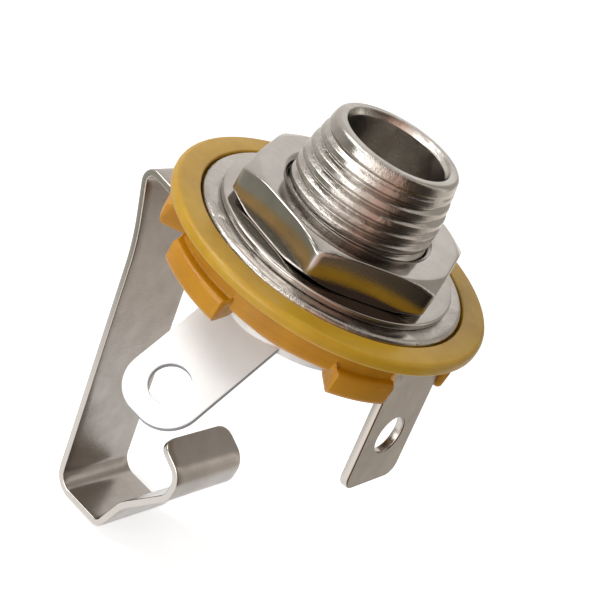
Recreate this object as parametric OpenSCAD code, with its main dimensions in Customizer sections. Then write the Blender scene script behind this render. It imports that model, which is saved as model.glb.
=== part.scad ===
// Quarter-inch panel phone jack with an open frame.
// The origin is the centre of the flange's panel seat, and +Z runs out of the plug's mouth.
// +X points to the tip spring, -X to the tip solder lug.

/* [Bushing] */
// Crest diameter of the mounting thread
thread_d = 9.4; // [9:0.1:10]
// Length of the threaded neck ahead of the panel seat
neck_length = 7.4; // [6:0.1:12]
// Rounding of the neck's outer lip
lip_round = 1; // [0.2:0.05:1]
// Bore that takes the 6.35 mm plug
plug_bore_d = 6.5; // [6.4:0.05:6.7]
// Width of the countersunk mouth
mouth_d = 6.9; // [6.8:0.05:6.95]
// Depth of the countersunk mouth
mouth_depth = 0.4; // [0.3:0.1:1.5]
// Diameter of the flange behind the panel
flange_d = 17.7; // [16:0.1:19]
// Thickness of the flange
flange_thickness = 0.8; // [0.6:0.05:1.2]
// Diameter of the tail that carries the contact stack
tail_d = 8; // [7.6:0.1:8.4]
// Diameter of the rolled-over end of the tail
roll_d = 9.6; // [9.2:0.1:10]
// Thickness of the rolled-over end of the tail
roll_thickness = 0.5; // [0.3:0.05:0.8]

/* [Nut and washer] */
// Width of the nut across its flats
nut_flats = 13.2; // [12:0.1:14.5]
// Thickness of the nut
nut_height = 2.4; // [1.6:0.1:3]
// Height of the bevel on the nut's corners
nut_bevel = 0.35; // [0.2:0.05:0.5]
// Depth of the countersink at each end of the nut's thread
nut_sink = 0.3; // [0.1:0.05:0.5]
// Outer diameter of the flat washer
washer_d = 15.6; // [14.5:0.1:17]
// Thickness of the flat washer
washer_thickness = 0.45; // [0.3:0.05:0.8]
// Turn of the nut around the axis, as it was left after tightening
nut_turn = 54; // [0:1:60]
// Radial play of the nut on the thread
nut_play = 0.05; // [0.03:0.01:0.1]
// Radial play of the washer on the thread
washer_play = 0.1; // [0.05:0.01:0.3]

/* [Insulators] */
// Outer diameter of the moulded ring
ring_d = 21.3; // [20.5:0.1:23]
// Thickness of the ring's floor under the flange
ring_floor = 0.7; // [0.5:0.05:1.2]
// Height by which the ring's rim stays below the panel seat
rim_drop = 0.12; // [0.05:0.01:0.4]
// Step from the ring's floor up to the back of its rim
rim_step = 0.6; // [0.2:0.05:0.7]
// Rounding of the ring's rim
rim_round = 0.4; // [0.2:0.05:0.55]
// Gap between the flange and the ring's rim
flange_gap = 0.12; // [0.05:0.01:0.3]
// Gap between the tip plate's edge and the skirt round it
plate_gap = 0.3; // [0.2:0.05:0.5]
// Wall of the skirt behind the ring
skirt_wall = 1.6; // [1.2:0.1:1.8]
// Gap on each side of the tip lug where it leaves the skirt
lug_gap = 0.25; // [0.15:0.05:0.4]
// Height of the skirt's low walls behind the ring
skirt_height = 1.3; // [0.8:0.1:2]
// Outer diameter of the skirt's blocks
block_d = 20.2; // [19.4:0.1:21]
// Height of the skirt's blocks behind the ring
block_height = 2.3; // [1.8:0.1:3]
// Height of the groove between the ring and each block
groove_height = 0.7; // [0.4:0.1:1.2]
// Diameter of the hub that keeps the tip plate off the tail
hub_d = 10; // [9.4:0.1:10.4]
// Diameter of the rear insulator
rear_d = 11.8; // [11.2:0.1:12.2]
// Thickness of the rear insulator
rear_height = 2.9; // [2:0.1:3.5]
// Radial play of the stack on the tail and on the hub
stack_play = 0.05; // [0.03:0.01:0.1]

/* [Terminals] */
// Width of both solder lugs
lug_width = 5.2; // [4.5:0.1:6]
// Diameter of the wire hole in both lugs
lug_hole_d = 2.5; // [1.8:0.1:3]
// Sheet thickness of the tip terminal
tip_sheet = 0.6; // [0.4:0.05:0.8]
// Outer diameter of the tip terminal's plate
tip_plate_d = 15.2; // [14.6:0.1:15.4]
// Reach of the tip lug's bend from the axis
tip_bend_reach = 8.75; // [8.4:0.05:9.6]
// Outward lean of the tip lug
tip_lean = 11; // [0:1:25]
// Distance from the tip lug's bend to its hole
tip_lug_length = 5; // [4:0.1:8]
// Distance from the tip lug's hole to its end
tip_lug_end = 3.5; // [2.6:0.1:5]
// Rounding of the tip lug's end corners
tip_lug_corner = 0.9; // [0.3:0.1:2.2]
// Sheet thickness of the sleeve terminal
sleeve_sheet = 0.5; // [0.4:0.05:0.8]
// Outer diameter of the sleeve terminal's ring
sleeve_ring_d = 11.4; // [10.6:0.1:12]
// Reach of the sleeve lug's bend from the axis
sleeve_bend_reach = 5.1; // [4.8:0.05:6]
// Outward lean of the sleeve lug
sleeve_lean = 51; // [20:1:70]
// Distance from the sleeve lug's bend to its hole
sleeve_lug_length = 6; // [4:0.1:8]
// Distance from the sleeve lug's hole to its end
sleeve_lug_end = 2.6; // [2.3:0.1:4.5]
// Rounding of the sleeve lug's end corners
sleeve_lug_corner = 2.2; // [0.3:0.1:2.2]
// Direction of the sleeve lug around the axis
sleeve_turn = 96; // [80:1:110]

/* [Tip spring] */
// Width of the spring strip
spring_width = 6.3; // [5:0.1:7]
// Sheet thickness of the spring strip
spring_sheet = 0.5; // [0.3:0.05:0.6]
// Gap between the spring's tab and the tip plate
tab_gap = 0.05; // [0.03:0.01:0.1]
// Length of the spring's tab on the tip plate
tab_length = 1.4; // [1:0.1:1.6]
// Backward step of the arm behind the blocks
arm_step = 1.85; // [1.6:0.05:2.4]
// Reach of the spring's root bend from the axis
root_reach = 12.9; // [12:0.1:14]
// Reach of the leaf's shallow bend from the axis
knee_reach = 10.8; // [10:0.05:11.5]
// Depth of the leaf's shallow bend behind the panel seat
knee_depth = 8.9; // [8:0.1:12]
// Reach of the hook's outer corner from the axis
hook_reach = 6.75; // [5.5:0.1:8]
// Depth of the hook behind the panel seat
hook_depth = 27.95; // [27:0.05:30]
// Length of the hook's base across the axis
hook_base = 4.55; // [3.6:0.05:5]
// Rise of the hook's base towards the contact
hook_rise = 0.6; // [0:0.05:1]
// Distance by which the contact crosses the axis at rest
contact_cross = 1.5; // [0.5:0.1:2]
// Depth of the contact behind the bushing's lip, where the plug's tip has its groove
contact_depth = 27.6; // [26:0.1:28]
// Radius of the rolled contact
contact_round = 1.25; // [0.9:0.05:1.4]
// Inner bend radius of the strip's sharp folds
fold_round = 0.45; // [0.3:0.05:0.8]

/* [Hidden] */
$fn = 96;
corner_steps = 6;
overlap = 0.1;

thread_r = thread_d / 2;
tail_r = tail_d / 2;
stack_r = tail_r + stack_play;
floor_front = -flange_thickness;
ring_back = floor_front - ring_floor;
tip_plate_back = ring_back - tip_sheet;
rear_back = tip_plate_back - rear_height;
sleeve_back = rear_back - sleeve_sheet;
tail_back = sleeve_back - roll_thickness;
tip_plate_r = tip_plate_d / 2;
skirt_bore_d = tip_plate_d + 2 * plate_gap;
skirt_d = skirt_bore_d + 2 * skirt_wall;
rim_back = ring_back + rim_step;
tab_level = tip_plate_back - tab_gap - spring_sheet / 2;
arm_level = tab_level - arm_step;
contact_level = neck_length - contact_depth;
nut_corner_r = nut_flats / 2 / cos(30);

// Angles where each piece of the skirt starts and ends on the +Y side, mirrored to the -Y side
tall_blocks = [[31, 46], [66, 98], [140, 166]];
low_walls = [[97, 141]];

function unit(v) = v / norm(v);

// Points of an arc that rounds corner b between its neighbours a and c
function corner(a, b, c, radius) =
    radius <= 0 ? [b] :
    let (
        to_a = unit(a - b),
        to_c = unit(c - b),
        half = acos(max(-1, min(1, to_a * to_c))) / 2,
        start = b + to_a * radius / tan(half),
        finish = b + to_c * radius / tan(half),
        centre = b + unit(to_a + to_c) * radius / sin(half)
    )
    [
        for (i = [0 : corner_steps])
            let (share = i / corner_steps)
            centre + radius * unit((start - centre) * (1 - share) + (finish - centre) * share)
    ];

// Closed outline with every corner rounded by its own radius
function rounded_outline(points, radii) =
    let (count = len(points))
    [
        for (i = [0 : count - 1])
            each corner(points[(i + count - 1) % count], points[i], points[(i + 1) % count], radii[i])
    ];

// Open path with its inner corners rounded
function rounded_path(points, radii) =
    let (last = len(points) - 1)
    [
        points[0],
        for (i = [1 : last - 1]) each corner(points[i - 1], points[i], points[i + 1], radii[i]),
        points[last]
    ];

// Unit vector across the path at point i
function across(path, i) =
    let (
        last = len(path) - 1,
        along = unit(path[min(i + 1, last)] - path[max(i - 1, 0)])
    )
    [-along[1], along[0]];

// Sheet-metal strip whose centre line runs in the XZ plane
module strip(points, radii, thickness, width) {
    path = rounded_path(points, radii);
    last = len(path) - 1;
    one_side = [for (i = [0 : last]) path[i] + across(path, i) * thickness / 2];
    other_side = [for (i = [last : -1 : 0]) path[i] - across(path, i) * thickness / 2];
    rotate([90, 0, 0])
        linear_extrude(height = width, center = true)
            polygon(concat(one_side, other_side));
}

module revolved(points, radii) {
    rotate_extrude()
        polygon(rounded_outline(points, radii));
}

// Solder lug on the +X side: a radial arm, a bend and a leaning blade with a rounded end and a hole
module lug(arm_start, bend_reach, level, lean, length, end, corner_round, thickness) {
    blade = [sin(lean), -cos(lean)];
    bend_round = fold_round + thickness / 2;
    blade_start = bend_round;
    hole_at = [bend_reach, level] + length * blade;
    union() {
        strip(
            [[arm_start, level], [bend_reach, level], [bend_reach, level] + 2 * blade_start * blade],
            [0, bend_round, 0],
            thickness,
            lug_width
        );
        translate([hole_at[0], 0, hole_at[1]])
            rotate([0, 90 - lean, 0])
                linear_extrude(height = thickness, center = true)
                    difference() {
                        polygon(rounded_outline(
                            [
                                [blade_start - length, -lug_width / 2],
                                [end, -lug_width / 2],
                                [end, lug_width / 2],
                                [blade_start - length, lug_width / 2]
                            ],
                            [0, corner_round, corner_round, 0]
                        ));
                        circle(d = lug_hole_d);
                    }
    }
}

module flat_ring(outer_d, inner_r, back, thickness) {
    translate([0, 0, back])
        difference() {
            cylinder(d = outer_d, h = thickness);
            translate([0, 0, -overlap])
                cylinder(r = inner_r, h = thickness + 2 * overlap);
        }
}

module bushing() {
    color("silver")
        revolved(
            [
                [plug_bore_d / 2, tail_back],
                [roll_d / 2, tail_back],
                [roll_d / 2, sleeve_back],
                [tail_r, sleeve_back],
                [tail_r, floor_front],
                [flange_d / 2, floor_front],
                [flange_d / 2, 0],
                [thread_r, 0],
                [thread_r, neck_length],
                [mouth_d / 2, neck_length],
                [plug_bore_d / 2, neck_length - mouth_depth]
            ],
            [
                roll_thickness / 2,
                roll_thickness / 2,
                0,
                0,
                0,
                flange_thickness / 4,
                flange_thickness / 2,
                0,
                lip_round,
                0,
                0
            ]
        );
}

module flat_washer() {
    edge = washer_thickness / 4;
    bore_r = thread_r + washer_play;
    color("lightgray")
        revolved(
            [
                [bore_r, 0],
                [washer_d / 2, 0],
                [washer_d / 2, washer_thickness],
                [bore_r, washer_thickness]
            ],
            [0, edge, edge, 0]
        );
}

// Bevelled outline that cuts the nut's corners at both ends
module nut_envelope() {
    bevel_reach = nut_bevel / tan(30);
    rotate_extrude()
        polygon([
            [0, 0],
            [nut_corner_r - bevel_reach, 0],
            [nut_corner_r, nut_bevel],
            [nut_corner_r, nut_height - nut_bevel],
            [nut_corner_r - bevel_reach, nut_height],
            [0, nut_height]
        ]);
}

module hex_nut() {
    bore_r = thread_r + nut_play;
    color("gainsboro")
        translate([0, 0, washer_thickness])
            difference() {
                intersection() {
                    rotate([0, 0, nut_turn])
                        cylinder(r = nut_corner_r, h = nut_height, $fn = 6);
                    nut_envelope();
                }
                translate([0, 0, -overlap])
                    cylinder(r = bore_r, h = nut_height + 2 * overlap);
                for (flip = [0, 1])
                    translate([0, 0, flip * nut_height])
                        mirror([0, 0, flip])
                            cylinder(r1 = bore_r + nut_sink, r2 = bore_r, h = nut_sink);
            }
}

// Pieces of the skirt, drawn on one side and mirrored to the other
module skirt_pieces(spans, outline, radii) {
    for (side = [0, 1])
        mirror([0, side, 0])
            for (span = spans)
                rotate([0, 0, span[0]])
                    rotate_extrude(angle = span[1] - span[0])
                        polygon(rounded_outline(outline, radii));
}

module ring_insulator() {
    pocket_r = flange_d / 2 + flange_gap;
    skirt_bore_r = skirt_bore_d / 2;
    block_r = block_d / 2;
    skirt_r = skirt_d / 2;
    wall_inset = skirt_wall / 20;
    floor_r = skirt_r - 2 * wall_inset;
    block_back = ring_back - block_height;
    block_front = ring_back - groove_height;
    block_round = (block_r - skirt_r) / 2;
    slot_width = lug_width + 2 * lug_gap;
    slot_height = block_height + overlap;
    color("goldenrod")
        difference() {
            union() {
                revolved(
                    [
                        [stack_r, ring_back - tip_sheet],
                        [hub_d / 2, ring_back - tip_sheet],
                        [hub_d / 2, ring_back],
                        [floor_r, ring_back],
                        [floor_r, rim_back],
                        [ring_d / 2, rim_back],
                        [ring_d / 2, -rim_drop],
                        [pocket_r, -rim_drop],
                        [pocket_r, floor_front],
                        [stack_r, floor_front]
                    ],
                    [0, 0, 0, 0, 0, rim_round / 5, rim_round, rim_round / 3, 0, 0]
                );
                skirt_pieces(
                    tall_blocks,
                    [
                        [skirt_bore_r, ring_back + overlap],
                        [skirt_bore_r, block_back],
                        [block_r, block_back],
                        [block_r, block_front],
                        [skirt_r, block_front],
                        [skirt_r, ring_back + overlap]
                    ],
                    [0, 0, block_round, block_round, 0, 0]
                );
                skirt_pieces(
                    low_walls,
                    [
                        [skirt_bore_r + wall_inset, ring_back + 2 * overlap],
                        [skirt_bore_r + wall_inset, ring_back - skirt_height],
                        [skirt_r - wall_inset, ring_back - skirt_height],
                        [skirt_r - wall_inset, ring_back + 2 * overlap]
                    ],
                    [0, 0, block_round, 0]
                );
            }
            translate([-ring_d, -slot_width / 2, ring_back - slot_height])
                cube([ring_d - tip_plate_r, slot_width, slot_height]);
        }
}

module rear_insulator() {
    color("darkgoldenrod")
        flat_ring(rear_d, stack_r, rear_back, rear_height);
}

module tip_terminal() {
    arm_start = hub_d / 2 + (tip_plate_r - hub_d / 2) / 2;
    color("darkgray")
        union() {
            flat_ring(tip_plate_d, hub_d / 2 + stack_play, tip_plate_back, tip_sheet);
            rotate([0, 0, 180])
                lug(
                    arm_start,
                    tip_bend_reach,
                    ring_back - tip_sheet / 2,
                    tip_lean,
                    tip_lug_length,
                    tip_lug_end,
                    tip_lug_corner,
                    tip_sheet
                );
        }
}

// Leaf folded from one strip: tab, stepped arm, long leaf, hook and rolled contact
module tip_spring() {
    fold = fold_round + spring_sheet / 2;
    contact_x = -contact_cross + spring_sheet / 2;
    color("lightsteelblue")
        strip(
            [
                [tip_plate_r - tab_length, tab_level],
                [tip_plate_r + fold, tab_level],
                [tip_plate_r + fold + arm_step, arm_level],
                [root_reach, arm_level],
                [knee_reach, -knee_depth],
                [hook_reach, -hook_depth],
                [hook_reach - hook_base, hook_rise - hook_depth],
                [contact_x + 2.1 * contact_round, contact_level - 3.4 * contact_round],
                [contact_x, contact_level - contact_round / 2],
                [contact_x, contact_level + contact_round],
                [contact_x + 2 * contact_round, contact_level + 1.7 * contact_round]
            ],
            [
                0,
                fold,
                fold,
                fold,
                24 * fold,
                fold,
                fold,
                2 * contact_round,
                contact_round,
                contact_round,
                0
            ],
            spring_sheet,
            spring_width
        );
}

module sleeve_terminal() {
    arm_start = stack_r + (sleeve_bend_reach - stack_r) / 3;
    color("white")
        union() {
            flat_ring(sleeve_ring_d, stack_r, sleeve_back, sleeve_sheet);
            rotate([0, 0, sleeve_turn])
                lug(
                    arm_start,
                    sleeve_bend_reach,
                    rear_back - sleeve_sheet / 2,
                    sleeve_lean,
                    sleeve_lug_length,
                    sleeve_lug_end,
                    sleeve_lug_corner,
                    sleeve_sheet
                );
        }
}

bushing();
flat_washer();
hex_nut();
ring_insulator();
rear_insulator();
tip_terminal();
tip_spring();
sleeve_terminal();
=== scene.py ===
import bmesh
import bpy
import numpy as np
from mathutils import Matrix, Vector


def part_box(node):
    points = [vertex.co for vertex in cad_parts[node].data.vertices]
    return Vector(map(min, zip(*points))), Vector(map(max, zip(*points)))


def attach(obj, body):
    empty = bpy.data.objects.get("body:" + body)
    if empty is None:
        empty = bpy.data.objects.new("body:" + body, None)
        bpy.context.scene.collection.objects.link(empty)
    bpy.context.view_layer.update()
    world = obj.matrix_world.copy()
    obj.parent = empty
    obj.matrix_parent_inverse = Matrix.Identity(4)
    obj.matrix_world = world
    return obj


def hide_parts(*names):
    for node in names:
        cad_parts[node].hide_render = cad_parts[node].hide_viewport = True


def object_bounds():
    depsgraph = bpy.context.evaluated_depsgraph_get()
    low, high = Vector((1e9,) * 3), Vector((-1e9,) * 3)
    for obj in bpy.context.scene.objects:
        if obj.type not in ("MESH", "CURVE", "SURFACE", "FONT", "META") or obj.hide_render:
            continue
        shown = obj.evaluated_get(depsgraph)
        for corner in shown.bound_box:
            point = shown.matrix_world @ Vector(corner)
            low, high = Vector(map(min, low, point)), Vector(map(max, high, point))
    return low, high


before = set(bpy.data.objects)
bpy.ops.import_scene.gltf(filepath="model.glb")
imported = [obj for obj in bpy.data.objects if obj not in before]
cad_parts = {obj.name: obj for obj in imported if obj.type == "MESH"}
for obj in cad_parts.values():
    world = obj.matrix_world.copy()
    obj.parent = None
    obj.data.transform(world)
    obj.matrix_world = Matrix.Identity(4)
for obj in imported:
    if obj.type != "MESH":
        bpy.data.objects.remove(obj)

mm = 0.001  # every shape below is drawn in millimetres
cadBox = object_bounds()
print("frame loaded:", ", ".join(sorted(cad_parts)))


def nodeBox(node):
    low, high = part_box(node)
    return np.array(low) / mm, np.array(high) / mm


def smooth(start, end, value):  # 0 before start, 1 after end, an S curve between
    share = np.clip((value - start) / (end - start), 0, 1)
    return share * share * (3 - 2 * share)


def unit(vector):
    return vector / np.maximum(np.linalg.norm(vector, axis=-1, keepdims=True), 1e-9)


# Straight runs joined by arcs. Each corner is cut back by radius / tan(half its angle), never past
# its share of the two runs, and the arc is swung between the cuts. Points are (corner, ..., 2)
mostCut = 0.48
mostCosine = 0.9999


def roundedLine(points, radii, closed=True, steps=7):
    points = np.asarray(points, float)
    count = len(points)
    stretches = []
    for i, radius in enumerate(radii):
        here = points[i]
        if radius == 0 or (not closed and i in (0, count - 1)):
            stretches.append(here[None])
            continue
        back = points[i - 1] - here
        ahead = points[(i + 1) % count] - here
        shorter = np.minimum(np.linalg.norm(back, axis=-1), np.linalg.norm(ahead, axis=-1))
        back, ahead = unit(back), unit(ahead)
        cosine = np.clip((back * ahead).sum(-1, keepdims=True), -mostCosine, mostCosine)
        half = np.arccos(cosine) / 2
        cut = np.minimum(radius / np.tan(half), mostCut * shorter[..., None])
        centre = here + unit(back + ahead) * cut / np.cos(half)
        sweep = np.pi - 2 * half
        share = np.linspace(0, 1, steps + 1).reshape((-1,) + (1,) * here.ndim)
        start, end = here + back * cut - centre, here + ahead * cut - centre
        arc = np.sin((1 - share) * sweep) * start + np.sin(share * sweep) * end
        stretches.append(centre + arc / np.sin(sweep))
    return np.concatenate(stretches)


# Extra points along the runs of a line, so that none is longer than its step
def filledLine(line, step, closed=True):
    following = np.roll(line, -1, axis=0) if closed else line[1:]
    runs = []
    for here, there, most in zip(line, following, np.broadcast_to(step, len(line))):
        count = max(1, int(np.ceil(np.linalg.norm(there - here) / most)))
        share = np.arange(count)[:, None] / count
        runs.append(here + (there - here) * share)
    if not closed:
        runs.append(line[-1:])
    return np.concatenate(runs)


def polar(radius, angle, height):
    x, y, z = np.broadcast_arrays(radius * np.cos(angle), radius * np.sin(angle), height)
    return np.stack([x, y, z], -1)


# A closed (radius, height) outline turned about Z
def turned(outline, steps):
    angle = np.linspace(0, 2 * np.pi, steps, endpoint=False)[:, None]
    return polar(outline[None, :, 0], angle, outline[None, :, 1])


# A flat ring with rounded edges, turned about Z
def flatRing(inner, outer, bottom, top, s):
    corners = [(inner, bottom), (outer, bottom), (outer, top), (inner, top)]
    edges = [s["boreEdge"], s["edge"], s["edge"], s["boreEdge"]]
    return turned(filledLine(roundedLine(corners, edges, steps=s["arcSteps"]), s["fine"]), s["steps"])


def turnAboutZ(grid, degrees):
    angle = np.radians(degrees)
    x, y, z = np.moveaxis(grid, -1, 0)
    newX = x * np.cos(angle) - y * np.sin(angle)
    newY = x * np.sin(angle) + y * np.cos(angle)
    return np.stack([newX, newY, z], -1)


gridWeld, fusedWeld = 1e-7, 1e-6  # metres


def merged(mesh, near):  # doubles and slivers taken out, faces turned outwards
    work = bmesh.new()
    work.from_mesh(mesh)
    bmesh.ops.remove_doubles(work, verts=work.verts, dist=near)
    bmesh.ops.dissolve_degenerate(work, edges=work.edges, dist=near)
    bmesh.ops.recalc_face_normals(work, faces=work.faces)
    work.to_mesh(mesh)
    work.free()
    return mesh


# Quads over a grid of points (row, column, xyz); columns always close on themselves, rows where
# asked. cut marks the points on a sheared edge, where the materials paint an edge highlight or shade
# line
def gridMesh(name, grid, rowsClose=True, cut=0):
    rows, columns = grid.shape[:2]
    index = np.arange(rows * columns).reshape(rows, columns)
    if rowsClose:
        index = np.concatenate([index, index[:1]])
    index = np.concatenate([index, index[:, :1]], axis=1)
    corners = [index[:-1, :-1], index[:-1, 1:], index[1:, 1:], index[1:, :-1]]
    mesh = bpy.data.meshes.new(name)
    mesh.from_pydata(grid.reshape(-1, 3) * mm, [], np.stack(corners, -1).reshape(-1, 4).tolist())
    marks = np.broadcast_to(cut, (rows, columns)).astype(np.float32)
    mesh.attributes.new("cutEdge", "FLOAT", "POINT").data.foreach_set("value", marks.ravel())
    return merged(mesh, gridWeld)


def fused(first, second):  # one skin round two closed meshes
    parts = [bpy.data.objects.new(mesh.name, mesh) for mesh in (first, second)]
    for part in parts:
        bpy.context.scene.collection.objects.link(part)
    union = parts[0].modifiers.new("union", "BOOLEAN")
    union.operation = "UNION"
    union.solver = "MANIFOLD"
    union.object = parts[1]
    solid = parts[0].evaluated_get(bpy.context.evaluated_depsgraph_get())
    whole = bpy.data.meshes.new_from_object(solid)
    for part in parts:
        bpy.data.objects.remove(part)
    whole.materials.clear()
    return merged(whole, fusedWeld)


largeFaceWeight = 90  # of 100, so that rounded edges leave the flat faces flat


def makePiece(name, mesh, body, node, material):
    mesh.name = name
    mesh.polygons.foreach_set("use_smooth", np.ones(len(mesh.polygons), bool))
    mesh.materials.append(material)
    piece = bpy.data.objects.new(name, mesh)
    bpy.context.scene.collection.objects.link(piece)
    even = piece.modifiers.new("even shading", "WEIGHTED_NORMAL")
    even.weight = largeFaceWeight
    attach(piece, body)
    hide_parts(node)
    print("made", name, len(mesh.polygons), "faces")


# Materials
def shader(name):
    material = bpy.data.materials.new(name)
    material.use_nodes = True
    tree = material.node_tree
    return material, tree, tree.nodes["Principled BSDF"]


def addNode(tree, kind, inputs=None, **settings):
    node = tree.nodes.new(kind)
    for key, value in settings.items():
        setattr(node, key, value)
    for key, value in (inputs or {}).items():
        if isinstance(value, bpy.types.NodeSocket):
            tree.links.new(value, node.inputs[key])
        else:
            node.inputs[key].default_value = value
    return node


def maths(tree, operation, first, second):
    return addNode(tree, "ShaderNodeMath", {0: first, 1: second}, operation=operation).outputs[0]


def length(tree, vector):
    return addNode(tree, "ShaderNodeVectorMath", {0: vector}, operation="LENGTH").outputs["Value"]


def grain(tree, place, scale, detail, rough, stretch=(1, 1, 1)):  # scale is per millimetre
    mapped = addNode(tree, "ShaderNodeMapping", {
        "Vector": place, "Scale": [share / mm for share in stretch]})
    noise = addNode(tree, "ShaderNodeTexNoise", {
        "Vector": mapped.outputs["Vector"], "Scale": scale, "Detail": detail, "Roughness": rough})
    return noise.outputs["Fac"]


def remap(tree, value, low, high, newLow, newHigh):
    node = addNode(tree, "ShaderNodeMapRange", {
        "Value": value, "From Min": low, "From Max": high, "To Min": newLow, "To Max": newHigh})
    return node.outputs["Result"]


def twoTone(tree, factor, dark, light, low=0.35, high=0.65):
    ramp = addNode(tree, "ShaderNodeValToRGB", {"Fac": factor})
    ramp.color_ramp.elements[0].position = low
    ramp.color_ramp.elements[0].color = (*dark, 1)
    ramp.color_ramp.elements[1].position = high
    ramp.color_ramp.elements[1].color = (*light, 1)
    return ramp.outputs["Color"]


def bumps(tree, heights):  # each is (height, distance in millimetres), laid one over the other
    normal = None
    for height, distance in heights:
        inputs = {"Height": height, "Distance": distance * mm}
        if normal is not None:
            inputs["Normal"] = normal
        normal = addNode(tree, "ShaderNodeBump", inputs).outputs["Normal"]
    return normal


def blended(tree, mask, under, over):
    mix = addNode(tree, "ShaderNodeMix", {"Factor": mask, "A": under, "B": over}, data_type="RGBA")
    return mix.outputs["Result"]


# Nickel: metal whose tone and roughness drift in patches, with fine scratches along one way and pits.
# A sheared edge, marked on the mesh, may take a painted edge tone (a painted highlight where lighter, a
# painted shade line where darker), and the inside of a bore is painted lighter, as painted light
# reaching in; the plating may be rubbed rough in a few patches. Each grain is (scale, detail, roughness)
nickelSet = dict(patches=(0.45, 5, 0.6), patchSpan=(0.3, 0.7), lines=(4, 3, 0.6), stretch=(0.3, 0.3, 6),
                 pits=(9, 5, 0.65), dents=(5, 4, 0.7), worn=(0.3, 3, 0.5), wornSpan=(0.5, 0.58),
                 boreSoft=0.1)


def nickel(name, dark, light, smoothest, roughest, scratchDepth=0.004, pitDepth=0.004, metallic=1.0,
           paintedEdgeTone=None, bore=None, wornDepth=None):
    s = nickelSet
    material, tree, metal = shader(name)
    place = addNode(tree, "ShaderNodeTexCoord").outputs["Object"]
    patches = grain(tree, place, *s["patches"])
    lines = grain(tree, place, *s["lines"], s["stretch"])
    pits = grain(tree, place, *s["pits"])
    tone = twoTone(tree, patches, dark, light)
    # painted edge tone: a lighter edge is a painted highlight, a darker edge a painted shade line
    if paintedEdgeTone:
        cut = addNode(tree, "ShaderNodeAttribute", attribute_name="cutEdge").outputs["Fac"]
        tone = blended(tree, cut, tone, (*paintedEdgeTone, 1))
    # painted light: the inside of the bore is drawn lighter than the rest, in place of light reaching
    # into it
    if bore:
        boreR, paintedBoreLight = bore
        level = {0: place, 1: (1, 1, 0)}
        across = addNode(tree, "ShaderNodeVectorMath", level, operation="MULTIPLY").outputs[0]
        inBore = remap(tree, length(tree, across), boreR * mm, (boreR + s["boreSoft"]) * mm, 1, 0)
        tone = blended(tree, inBore, tone, (*paintedBoreLight, 1))
    tree.links.new(tone, metal.inputs["Base Color"])
    rough = remap(tree, patches, *s["patchSpan"], roughest, smoothest)
    tree.links.new(rough, metal.inputs["Roughness"])
    relief = [(lines, scratchDepth), (pits, pitDepth)]
    if wornDepth:
        dents = grain(tree, place, *s["dents"])
        where = remap(tree, grain(tree, place, *s["worn"]), *s["wornSpan"], 0, 1)
        relief.append((maths(tree, "MULTIPLY", dents, where), wornDepth))
    tree.links.new(bumps(tree, relief), metal.inputs["Normal"])
    metal.inputs["Metallic"].default_value = metallic
    return material


# Moulded amber: waxy plastic, cloudy in tone, with a faint orange-peel skin; behind the rim it is
# painted deeper and more saturated orange as painted shade
amberSet = dict(cloud=(0.35, 4, 0.6), skin=(2.5, 3, 0.5), span=(0.3, 0.7), rough=(0.3, 0.42),
                skinDepth=0.012, rimAt=(-1.6, -0.9),
                rimTones=((0.45, 0.24, 0.007), (0.55, 0.32, 0.014)),
                backPaintedShade=((0.45, 0.185, 0.002), (0.55, 0.255, 0.004)),
                innerWeight=0.25, innerRadius=(1, 0.45, 0.12), innerScale=0.6)


def amber(name, s):
    material, tree, plastic = shader(name)
    place = addNode(tree, "ShaderNodeTexCoord").outputs["Object"]
    cloud = grain(tree, place, *s["cloud"])
    skin = grain(tree, place, *s["skin"])
    height = addNode(tree, "ShaderNodeSeparateXYZ", {0: place}).outputs["Z"]
    front = remap(tree, height, s["rimAt"][0] * mm, s["rimAt"][1] * mm, 0, 1)
    # painted shade: below rimAt the moulding is drawn deeper orange than at the rim
    back = twoTone(tree, cloud, *s["backPaintedShade"], *s["span"])
    rim = twoTone(tree, cloud, *s["rimTones"], *s["span"])
    tree.links.new(blended(tree, front, back, rim), plastic.inputs["Base Color"])
    tree.links.new(remap(tree, skin, *s["span"], *s["rough"]), plastic.inputs["Roughness"])
    tree.links.new(bumps(tree, [(skin, s["skinDepth"])]), plastic.inputs["Normal"])
    plastic.inputs["Subsurface Weight"].default_value = s["innerWeight"]
    plastic.inputs["Subsurface Radius"].default_value = s["innerRadius"]
    plastic.inputs["Subsurface Scale"].default_value = s["innerScale"] * mm
    return material


# bore inside painted lighter: painted light
turnedNickel = nickel("turned nickel", (0.39, 0.36, 0.335), (0.475, 0.45, 0.42), 0.13, 0.22,
                      scratchDepth=0.007, pitDepth=0.007, bore=(3.3, (0.64, 0.61, 0.57)),
                      wornDepth=0.045)
brightNickel = nickel("bright nickel", (0.39, 0.365, 0.34), (0.45, 0.425, 0.4), 0.07, 0.12,
                      scratchDepth=0.002, pitDepth=0.002)
# sheared edges painted lighter: painted highlight
springNickel = nickel("spring nickel", (0.335, 0.305, 0.28), (0.385, 0.355, 0.33), 0.18, 0.28,
                      paintedEdgeTone=(0.52, 0.49, 0.46))
# sheared edges painted lighter: painted highlight
lugNickel = nickel("lug nickel", (0.265, 0.24, 0.215), (0.305, 0.28, 0.25), 0.18, 0.28,
                   paintedEdgeTone=(0.52, 0.49, 0.46))
# pale tin plating made near-white and barely metallic as painted glare; its sheared edges are painted
# darker as a shade line
tinWithPaintedGlare = nickel("tin, painted glare", (0.91, 0.91, 0.905), (0.94, 0.94, 0.935), 0.42, 0.52, metallic=0.1,
                  paintedEdgeTone=(0.3, 0.3, 0.31))
amberPlastic = amber("amber plastic", amberSet)
print("materials ready:", len(bpy.data.materials))

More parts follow.
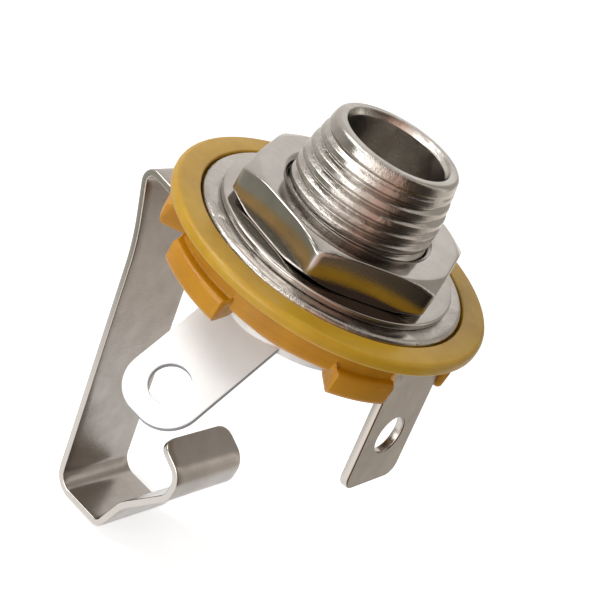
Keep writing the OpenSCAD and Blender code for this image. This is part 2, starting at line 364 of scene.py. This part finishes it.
# Bushing: a closed outline turned about Z, with a long lead taper to the lip. On the neck the radius is
# drawn in by a helical groove, which fades at both ends:
# depth * clip((|2 * fraction(height / pitch - turn) - 1| - crest) / (root - crest))
bushingSet = dict(threadR=4.7, boreR=3.25, boreEdge=0.1, mouthR=3.45, mouthDepth=0.4, mouthEdge=0.12,
                  leadFrom=4.5, leadRound=5, lipR=4.05, lipRound=0.35, neckFoot=0.12, flangeThick=0.8,
                  flangeFront=0.35, flangeBack=0.2, tailR=4.0, tailFoot=0.1, rollThick=0.5, rollR=4.8,
                  rollEdge=0.25, rollFront=0.05, pitch=0.79375, threadDepth=0.3, crest=0.36, root=0.94,
                  runIn=(0.2, 0.7), runOut=(0.55, 1.15), inward=0.1, outward=0.05, fineFrom=0.05,
                  fine=0.032, coarse=0.45, steps=220)


def makeBushing(s):
    low, high = nodeBox("bushing")
    back, lip, flangeR = low[2], high[2], high[0]
    rollTop, flangeBottom = back + s["rollThick"], -s["flangeThick"]
    corners = [
        (s["boreR"], back, s["rollEdge"]), (s["rollR"], back, s["rollEdge"]),
        (s["rollR"], rollTop, s["rollFront"]), (s["tailR"], rollTop, s["tailFoot"]),
        (s["tailR"], flangeBottom, s["tailFoot"]), (flangeR, flangeBottom, s["flangeBack"]),
        (flangeR, 0, s["flangeFront"]), (s["threadR"], 0, s["neckFoot"]),
        (s["threadR"], s["leadFrom"], s["leadRound"]), (s["lipR"], lip, s["lipRound"]),
        (s["mouthR"], lip, s["mouthEdge"]), (s["boreR"], lip - s["mouthDepth"], s["boreEdge"])]
    outline = roundedLine([corner[:2] for corner in corners], [corner[2] for corner in corners])
    onThread = (outline[:, 1] > s["fineFrom"]) & (outline[:, 0] > s["lipR"])
    grid = turned(filledLine(outline, np.where(onThread, s["fine"], s["coarse"])), s["steps"])
    radius, height = np.hypot(grid[..., 0], grid[..., 1]), grid[..., 2]
    turn = np.arctan2(grid[..., 1], grid[..., 0]) / (2 * np.pi)
    phase = height / s["pitch"] - turn
    fromCrest = np.abs(2 * (phase - np.floor(phase)) - 1) - s["crest"]
    groove = np.clip(fromCrest / (s["root"] - s["crest"]), 0, 1)
    outEnd, outStart = s["runOut"]
    fade = smooth(*s["runIn"], height) * (1 - smooth(lip - outStart, lip - outEnd, height))
    onNeck = (height > 0) & (radius > s["mouthR"] + s["inward"]) & (radius < s["threadR"] + s["outward"])
    drawnIn = np.where(onNeck, s["threadDepth"] * groove * fade, 0)
    grid[..., :2] *= (1 - drawnIn / radius)[..., None]
    makePiece("threaded_bushing", gridMesh("neck", grid), "jack", "bushing", turnedNickel)


makeBushing(bushingSet)

# Washer: a flat ring
washerSet = dict(play=0.1, edge=0.12, boreEdge=0.05, arcSteps=7, fine=0.4, steps=200)


def makeWasher(s):
    low, high = nodeBox("flat_washer")
    grid = flatRing(bushingSet["threadR"] + s["play"], high[0], low[2], high[2], s)
    makePiece("washer", gridMesh("disc", grid), "washer", "flat_washer", brightNickel)


makeWasher(washerSet)

# Nut: at each angle the side stands at flats / 2 / gauge, where gauge is the high-power mean of the
# three |cos| to the flats; it gives way to the bevel cone near the ends, and the edge is an arc
nutSet = dict(flats=13.2, turn=54, bevel=0.5, bevelSlope=30, edge=0.14, power=70, soft=0.03, play=0.05,
              sink=0.3, arcPoints=7, wallRows=22, faceRings=7, steps=480)


def makeNut(s):
    low, high = nodeBox("hex_nut")
    angle = np.linspace(0, 2 * np.pi, s["steps"], endpoint=False)[:, None]
    sides = np.radians(s["turn"] + 30 + np.array([0, 60, 120]))
    gauge = (np.abs(np.cos(angle - sides)) ** s["power"]).sum(1, keepdims=True) ** (1 / s["power"])
    hexR = s["flats"] / 2 / gauge
    cornerR = s["flats"] / 2 / np.cos(np.pi / 6)
    reach = s["bevel"] / np.tan(np.radians(s["bevelSlope"]))
    bore = bushingSet["threadR"] + s["play"]
    bottom, top = low[2], high[2]

    def sideR(height):  # the lesser of the hexagon and the bevel cone, softly joined
        inside = np.minimum(height - bottom, top - height)
        cone = cornerR - reach * (1 - np.clip(inside / s["bevel"], 0, 1))
        gap = hexR - cone
        return cone + gap / 2 - np.sqrt((gap / 2) ** 2 + s["soft"] ** 2)

    arc = np.linspace(0, np.pi / 2, s["arcPoints"])
    lift = s["edge"] * (1 - np.cos(arc))  # down from the end face
    inset = s["edge"] * (1 - np.sin(arc))  # in from the side
    walls = np.linspace(bottom + s["edge"], top - s["edge"], s["wallRows"] + 2)[1:-1]
    heights = np.concatenate([bottom + lift, walls, (top - lift)[::-1]])
    insets = np.concatenate([inset, np.zeros(s["wallRows"]), inset[::-1]])
    outer = sideR(heights[None, :]) - insets[None, :]
    faceShare = np.linspace(0, 1, s["faceRings"] + 2)[1:-1][None, :]
    sinkR = bore + s["sink"]

    def face(edgeColumn, height):
        edge = outer[:, [edgeColumn]]
        return sinkR + (edge - sinkR) * faceShare, np.full(faceShare.shape, height)

    lowR, lowZ = face(0, bottom)
    highR, highZ = face(-1, top)
    boreZ = np.array([[top, top - s["sink"], bottom + s["sink"], bottom]])
    boreR = np.broadcast_to(np.array([[sinkR, bore, bore, sinkR]]), (s["steps"], 4))
    radius = np.concatenate([lowR, outer, highR[:, ::-1], boreR], 1)
    height = np.concatenate([lowZ, heights[None, :], highZ, boreZ], 1)
    grid = polar(radius, angle, height)
    makePiece("nut", gridMesh("hexagon", grid), "nut", "hex_nut", brightNickel)


makeNut(nutSet)

# Ring moulding: one closed outline per angle, turned about Z. Behind the ring the outline grows by
# windows of the angle, S curves that rise and fall at the ends of each block or low wall. The slot for
# the lug has straight sides, so near it the skirt is sheared in angle
ringSet = dict(floor=0.7, tipSheet=0.6, stackR=4.05, hubR=5.0, rimDrop=0.12, rimStep=0.6, rimRound=0.4,
               pocketGap=0.12, skirtBoreR=7.9, skirtR=9.45, skirtHeight=1.3, blockR=10.1,
               blockHeight=2.3, groove=0.7, round=0.42, fine=0.1, foot=0.15, endSoft=2.2, endRows=15,
               arcSteps=6, sliver=0.01, tall=((31, 46), (66, 98), (140, 163.6)), low=((98, 140),),
               slotHalf=2.85, shearIn=(145, 160), shearOut=(166, 178), inward=0.2, outward=0.1,
               above=0.001)


def ringAngles(s):  # every degree, and finer round the ends of the blocks
    ends = np.array(s["tall"] + s["low"]).ravel()
    ends = np.concatenate([ends, 360 - ends])
    near = (ends[:, None] + np.linspace(-s["endSoft"], s["endSoft"], s["endRows"])).ravel()
    return np.unique(np.round(np.concatenate([np.arange(0, 360, 1.0), near]), 3))


def window(s, spans, folded):
    soft = s["endSoft"] / 2
    rises = [smooth(start - soft, start + soft, folded) * (1 - smooth(end - soft, end + soft, folded))
             for start, end in spans]
    return np.max(rises, axis=0)


def makeRing(s):
    ringR = nodeBox("ring_insulator")[1][0]
    degrees = ringAngles(s)
    folded = np.minimum(degrees, 360 - degrees)
    tall, wall = window(s, s["tall"], folded), window(s, s["low"], folded)
    front = -bushingSet["flangeThick"]
    back = front - s["floor"]
    rimBack = back + s["rimStep"]
    pocketR = nodeBox("bushing")[1][0] + s["pocketGap"]
    depth = np.maximum(tall * s["blockHeight"], wall * s["skirtHeight"]) + 4 * s["sliver"]
    outR = s["skirtR"] + tall * (s["blockR"] - s["skirtR"]) + s["sliver"]
    ledge = np.minimum(s["groove"], depth / 2)
    hubBack = back - s["tipSheet"]
    edge, fine, foot, rim = s["round"], s["fine"], s["foot"], s["rimRound"]
    corners = [
        (s["stackR"], hubBack, fine), (s["hubR"], hubBack, foot), (s["hubR"], back, fine),
        (s["skirtBoreR"], back, foot), (s["skirtBoreR"], back - depth, edge), (outR, back - depth, edge),
        (outR, back - ledge, edge), (s["skirtR"], back - ledge, foot), (s["skirtR"], rimBack, foot),
        (ringR, rimBack, rim / 2), (ringR, -s["rimDrop"], rim), (pocketR, -s["rimDrop"], rim / 3),
        (pocketR, front, fine), (s["stackR"], front, fine)]
    outline = np.stack([np.stack(np.broadcast_arrays(r, z, degrees)[:2], -1) for r, z, _ in corners])
    line = roundedLine(outline, [corner[2] for corner in corners], steps=s["arcSteps"])
    radius, height = np.moveaxis(line, -1, 0)
    side = np.where(degrees > 180, -1, 1)
    slotR = np.clip(radius, s["skirtBoreR"], s["blockR"])
    shear = np.arcsin(s["slotHalf"] / s["blockR"]) - np.arcsin(s["slotHalf"] / slotR)
    inSkirt = (radius > s["skirtBoreR"] - s["inward"]) & (radius < s["blockR"] + s["outward"])
    inSkirt &= height < rimBack + s["above"]
    weight = smooth(*s["shearIn"], folded) * (1 - smooth(*s["shearOut"], folded))
    angle = np.radians(degrees)[None, :] + np.where(inSkirt, shear * weight * side, 0)
    grid = polar(radius, angle, height).swapaxes(0, 1)
    makePiece("ring_moulding", gridMesh("moulding", grid), "jack", "ring_insulator", amberPlastic)


makeRing(ringSet)

# Rear bush: a flat ring
rearSet = dict(edge=0.25, boreEdge=0.1, arcSteps=7, fine=0.5, steps=160)


def makeRearBush(s):
    low, high = nodeBox("rear_insulator")
    grid = flatRing(ringSet["stackR"], high[0], low[2], high[2], s)
    makePiece("rear_bush", gridMesh("bush", grid), "jack", "rear_insulator", amberPlastic)


makeRearBush(rearSet)

# Terminals: a flat ring and a lug, fused. The lug is a flat blank, folded. Round the hole, each ray
# runs from the hole's edge to the blank's edge; its section is a closed loop over both faces with
# rounded edges. The blank is then bent: a point u along the middle line and h above it goes to
# line(u) + h * normal(u), and the line turns by one arc
terminalMesh = dict(cornerSteps=16, rimStep=0.12, edgePoints=5, fillRows=70, arcSteps=4, fine=0.5,
                    steps=180)
tipSet = dict(width=5.2, holeR=1.25, lean=11, bend=0.45, length=5.0, end=3.5, corner=0.9, reach=8.75,
              turn=180, plateR=7.6, plateBore=5.05, sheet=0.6, edge=0.1, start=7.0, thinner=0.02)
sleeveSet = dict(width=5.2, holeR=1.25, lean=51, bend=0.45, length=6.0, end=2.6, corner=2.2, reach=5.1,
                 turn=96, plateR=5.7, plateBore=4.05, sheet=0.5, edge=0.08, start=4.4, thinner=0.03)


def lugGrid(s, level, sheet):
    half = s["width"] / 2
    lean = np.radians(s["lean"])
    bendR = s["bend"] + sheet / 2
    turnBy = np.pi / 2 - lean
    cutBack = bendR * np.tan(turnBy / 2)
    straight = s["length"] - cutBack
    total = straight + bendR * turnBy + (s["reach"] - cutBack - s["start"])
    sides = [(total, -half), (total, half), (-s["end"], half), (-s["end"], -half)]
    rim = roundedLine(sides, [0, 0, s["corner"], s["corner"]], steps=terminalMesh["cornerSteps"])
    rim = filledLine(rim, terminalMesh["rimStep"])
    along = unit(np.roll(rim, -1, axis=0) - np.roll(rim, 1, axis=0))
    inward = np.stack([-along[:, 1], along[:, 0]], -1)
    toward = unit(rim)
    hole = toward * s["holeR"]
    arc = np.linspace(0, np.pi / 2, terminalMesh["edgePoints"])
    edge = s["edge"]
    rise = np.concatenate([[0], sheet / 2 - edge + edge * np.sin(arc)])
    step = np.concatenate([[0], edge * (1 - np.cos(arc))])
    fill = np.linspace(0, 1, terminalMesh["fillRows"] + 2)[1:-1]
    innerRim = hole[None] + toward[None] * step[:, None, None]
    outerRim = rim[None] + inward[None] * step[::-1][:, None, None]
    middle = innerRim[-1] + (outerRim[0] - innerRim[-1]) * fill[:, None, None]
    flat = np.concatenate([innerRim, middle, outerRim])
    high = np.concatenate([rise, np.full(len(fill), sheet / 2), rise[::-1]])
    flat = np.concatenate([flat, flat[-2:0:-1]])
    high = np.concatenate([high, -high[-2:0:-1]])
    u, w = flat[..., 0], flat[..., 1]
    blade = np.array([np.sin(lean), -np.cos(lean)])
    bladeEnd = np.array([s["reach"], level]) + blade * cutBack
    angle = lean + np.clip((u - straight) / bendR, 0, turnBy)  # from the leaning blade to level
    lineDir = np.stack([-np.sin(angle), np.cos(angle)], -1)
    normal = np.stack([np.cos(angle), np.sin(angle)], -1)
    centre = bladeEnd + bendR * np.array([-np.cos(lean), -np.sin(lean)])
    onArc = centre + bendR * normal
    before = np.minimum(u - straight, 0)[..., None] * np.array([-np.sin(lean), np.cos(lean)])
    after = np.maximum(u - straight - bendR * turnBy, 0)[..., None] * lineDir
    place = onArc + before + after + normal * high[:, None, None]
    sheared = np.abs(high) < sheet / 2 - edge / 2
    return turnAboutZ(np.stack([place[..., 0], w, place[..., 1]], -1), s["turn"]), sheared[:, None]


def makeTerminal(name, node, s, material):
    top = nodeBox(node)[1][2]
    bottom = top - s["sheet"]
    ring = dict(terminalMesh, edge=s["edge"], boreEdge=s["edge"])
    plate = flatRing(s["plateBore"], s["plateR"], bottom, bottom + s["sheet"], ring)
    lug, sheared = lugGrid(s, top - s["sheet"] / 2, s["sheet"] - s["thinner"])
    mesh = fused(gridMesh("plate", plate), gridMesh("lug", lug, cut=sheared))
    makePiece(name, mesh, "jack", node, material)


makeTerminal("tip_lug", "tip_terminal", tipSet, lugNickel)
makeTerminal("sleeve_lug", "sleeve_terminal", sleeveSet, tinWithPaintedGlare)

# Tip spring: a flat strip's rounded section carried along one folded line in the XZ plane. The rolled
# contact's corners and their rounding are given in contact radii; the free end has rounded corners,
# where half the width is cut by r - sqrt(r^2 - (r - left)^2)
springSet = dict(width=6.3, sheet=0.5, edge=0.1, tabStart=6.2, tabLevel=-2.4, armLevel=-4.25, fold=0.7,
                 step=1.85, root=12.9, knee=(10.8, -8.9), kneeRound=16.8, hook=(6.75, -27.95),
                 hookFold=1.5, base=4.55, rise=0.6, contactX=-1.25, contactZ=-20.2, contactR=1.25,
                 contact=((2.1, -3.4, 2), (0, -0.5, 1), (0, 1, 1), (2, 1.7, 0)), plateR=7.6,
                 cornerR=0.9, cornerFrom=0.02, cornerRows=10, foldSteps=10, edgeSteps=4, fine=0.3,
                 across=0.6, cap=0.98)


def makeSpring(s):
    fold, r = s["fold"], s["contactR"]
    hookX, hookZ = s["hook"]
    tabEnd = s["plateR"] + fold
    corners = [
        (s["tabStart"], s["tabLevel"], 0), (tabEnd, s["tabLevel"], fold),
        (tabEnd + s["step"], s["armLevel"], fold), (s["root"], s["armLevel"], fold),
        (*s["knee"], s["kneeRound"]), (hookX, hookZ, s["hookFold"]),
        (hookX - s["base"], hookZ + s["rise"], fold)]
    corners += [(s["contactX"] + x * r, s["contactZ"] + z * r, bend * r) for x, z, bend in s["contact"]]
    line = roundedLine([corner[:2] for corner in corners], [corner[2] for corner in corners],
                       closed=False, steps=s["foldSteps"])
    line = filledLine(line, s["fine"], closed=False)
    run = np.concatenate([[0], np.cumsum(np.linalg.norm(np.diff(line, axis=0), axis=1))])
    swing = np.linspace(s["cornerFrom"], np.pi / 2, s["cornerRows"])
    extra = run[-1] - s["cornerR"] * (1 - np.cos(swing))
    at = np.unique(np.concatenate([run[run < run[-1] - s["cornerR"]], extra, run[-1:]]))
    line = np.stack([np.interp(at, run, line[:, 0]), np.interp(at, run, line[:, 1])], -1)
    ahead = unit(np.gradient(line, axis=0))
    normal = np.stack([-ahead[:, 1], ahead[:, 0]], -1)
    left = np.clip(run[-1] - at, 0, s["cornerR"])
    trim = s["cornerR"] - np.sqrt(np.maximum(s["cornerR"] ** 2 - (s["cornerR"] - left) ** 2, 0))
    halfT, halfW = s["sheet"] / 2, s["width"] / 2
    section = [(-halfW, -halfT), (halfW, -halfT), (halfW, halfT), (-halfW, halfT)]
    section = filledLine(roundedLine(section, [s["edge"]] * 4, steps=s["edgeSteps"]), s["across"])
    width = section[None, :, 0] * ((halfW - trim) / halfW)[:, None]
    rise = np.broadcast_to(section[None, :, 1], width.shape)
    gridX = line[:, None, 0] + normal[:, None, 0] * rise
    gridZ = line[:, None, 1] + normal[:, None, 1] * rise

    def endCap(row):  # the section closed on its middle line
        flat = np.ones(width.shape[1])
        return np.stack([flat * line[row, 0], width[row] * s["cap"], flat * line[row, 1]], -1)[None]

    grid = np.concatenate([endCap(0), np.stack([gridX, width, gridZ], -1), endCap(-1)])
    sheared = np.abs(section[:, 0]) > halfW - s["edge"] / 2
    mesh = gridMesh("leaf", grid, False, sheared[None])
    makePiece("spring_leaf", mesh, "spring", "tip_spring", springNickel)


makeSpring(springSet)

# Stage: pale paper that shows white to the camera, to metal and to glass, and keeps the object's
# shadow. Farther out, metal sees painted reflections, shown only to glossy rays: tones by direction
# about Z in degrees, pale over about half the round, bright ahead toward the window lamp and dim
# beside the camera, all raised by room
stageSet = dict(
    size=1.5, lift=0.64, paper=(0.85, 0.85, 0.84), rough=0.9, ambient=(0.4, 0.4, 0.4), room=1.6,
    nearTo=(32, 50),
    sky=((0, (0.6, 0.58, 0.55)), (28, (0.4, 0.39, 0.36)), (52, (0.2, 0.2, 0.17)),
         (72, (0.35, 0.34, 0.32)), (90, (1.0, 0.97, 0.93)), (110, (0.75, 0.68, 0.62)),
         (138, (0.56, 0.38, 0.31)), (168, (0.08, 0.055, 0.04)), (206, (0.04, 0.035, 0.03)),
         (219, (0.36, 0.34, 0.31)), (236, (0.72, 0.67, 0.62)), (247, (0.34, 0.32, 0.29)),
         (276, (0.34, 0.32, 0.29)), (296, (0.7, 0.68, 0.65)), (335, (0.64, 0.62, 0.59)),
         (360, (0.6, 0.58, 0.55))),
    floor=((0, (0.5, 0.48, 0.45)), (30, (0.35, 0.34, 0.31)), (55, (0.22, 0.22, 0.18)),
           (74, (0.35, 0.34, 0.32)), (92, (1.0, 0.97, 0.93)), (108, (0.8, 0.73, 0.67)),
           (138, (0.6, 0.4, 0.33)), (163, (0.12, 0.09, 0.06)), (180, (0.02, 0.016, 0.012)),
           (207, (0.08, 0.07, 0.06)), (226, (0.54, 0.5, 0.45)), (245, (0.6, 0.55, 0.5)),
           (270, (0.62, 0.58, 0.53)), (310, (0.6, 0.58, 0.55)), (360, (0.5, 0.48, 0.45))))


def paintedReflectionTones(tree, place, tones):
    axes = addNode(tree, "ShaderNodeSeparateXYZ", {0: place}).outputs
    angle = maths(tree, "ARCTAN2", axes["Y"], axes["X"])
    share = maths(tree, "MULTIPLY", angle, 1 / (2 * np.pi))
    turn = addNode(tree, "ShaderNodeMath", {0: share}, operation="FRACT")
    ramp = addNode(tree, "ShaderNodeValToRGB", {"Fac": turn.outputs[0]})
    ramp.color_ramp.interpolation = "EASE"
    stops = ramp.color_ramp.elements
    for degrees, tone in tones[1:-1]:
        stops.new(degrees / 360).color = (*tone, 1)
    stops[0].color = (*tones[0][1], 1)
    stops[-1].color = (*tones[-1][1], 1)
    return ramp.outputs["Color"]


def picked(tree, factor, first, second):
    return addNode(tree, "ShaderNodeMixShader", {0: factor, 1: first.outputs[0], 2: second.outputs[0]})


def makeFloor(s):
    level = cadBox[0][2]
    half = s["size"] / 2
    corners = [(-half, -half, level), (half, -half, level), (half, half, level), (-half, half, level)]
    mesh = bpy.data.meshes.new("floor")
    mesh.from_pydata(corners, [], [(0, 1, 2, 3)])
    floor = bpy.data.objects.new("floor", mesh)
    bpy.context.scene.collection.objects.link(floor)
    material, tree, paper = shader("floor paper")
    place = addNode(tree, "ShaderNodeTexCoord").outputs["Object"]
    ray = addNode(tree, "ShaderNodeLightPath").outputs
    direct = maths(tree, "MAXIMUM", ray["Is Camera Ray"], ray["Is Transmission Ray"])
    direct = maths(tree, "MAXIMUM", direct, ray["Is Glossy Ray"])
    paper.inputs["Base Color"].default_value = (*s["paper"], 1)
    paper.inputs["Roughness"].default_value = s["rough"]
    paper.inputs["Emission Color"].default_value = (1, 1, 1, 1)
    tree.links.new(maths(tree, "MULTIPLY", direct, s["lift"]), paper.inputs["Emission Strength"])
    # far from the jack, glossy rays see painted reflection tones instead of the paper
    far = remap(tree, length(tree, place), s["nearTo"][0] * mm, s["nearTo"][1] * mm, 0, 1)
    mirrored = maths(tree, "MULTIPLY", ray["Is Glossy Ray"], far)
    glow = addNode(tree, "ShaderNodeEmission", {
        "Color": paintedReflectionTones(tree, place, s["floor"]), "Strength": s["room"]})
    surface = picked(tree, mirrored, paper, glow)
    tree.links.new(surface.outputs[0], tree.nodes["Material Output"].inputs["Surface"])
    mesh.materials.append(material)


def makeWorld(s):
    world = bpy.data.worlds.new("studio")
    world.use_nodes = True
    bpy.context.scene.world = world
    tree = world.node_tree
    ray = addNode(tree, "ShaderNodeLightPath").outputs
    way = addNode(tree, "ShaderNodeTexCoord").outputs["Generated"]
    ambient = tree.nodes["Background"]
    ambient.inputs["Color"].default_value = (*s["ambient"], 1)
    # glossy rays see painted reflection tones by direction
    mirrored = addNode(tree, "ShaderNodeBackground", {
        "Color": paintedReflectionTones(tree, way, s["sky"]), "Strength": s["room"]})
    white = addNode(tree, "ShaderNodeBackground", {"Color": (1, 1, 1, 1)})
    direct = maths(tree, "MAXIMUM", ray["Is Camera Ray"], ray["Is Transmission Ray"])
    around = picked(tree, direct, picked(tree, ray["Is Glossy Ray"], ambient, mirrored), white)
    tree.links.new(around.outputs[0], tree.nodes["World Output"].inputs["Surface"])


makeFloor(stageSet)
makeWorld(stageSet)

# Soft boxes: place and size in metres, power in watts, all aimed at the jack
lampSet = dict(
    key=dict(place=(0.1, 0.08, 0.14), size=0.1, power=0.17),
    window=dict(place=(0.03, 0.3, 0.06), size=0.2, power=0.42))


def makeLamps(lamps):
    for name, s in lamps.items():
        data = bpy.data.lights.new(name, "AREA")
        data.size = s["size"]
        data.energy = s["power"]
        lamp = bpy.data.objects.new(name, data)
        bpy.context.scene.collection.objects.link(lamp)
        lamp.location = s["place"]
        aim = -lamp.location
        lamp.rotation_euler = aim.to_track_quat("-Z", "Y").to_euler()


makeLamps(lampSet)
print("stage, world and lamps set")

# Camera: its place and axes were found from the round rims in the picture
cameraSet = dict(lens=77.2286, sensor=36, nearest=1, place=(-32.199, 61.928, 33.549),
                 right=(-0.62609, -0.61864, 0.47465), up=(0.66686, -0.10934, 0.73712),
                 back=(-0.40411, 0.77803, 0.481))


def makeCamera(s):
    data = bpy.data.cameras.new("camera")
    data.lens, data.sensor_width = s["lens"], s["sensor"]
    data.clip_start = s["nearest"] * mm
    camera = bpy.data.objects.new("camera", data)
    bpy.context.scene.collection.objects.link(camera)
    axes = Matrix([s["right"], s["up"], s["back"]]).transposed()
    place = [share * mm for share in s["place"]]
    camera.matrix_world = Matrix.LocRotScale(place, axes.to_quaternion(), None)
    bpy.context.scene.camera = camera


makeCamera(cameraSet)
bpy.context.scene.view_settings.view_transform = "Standard"
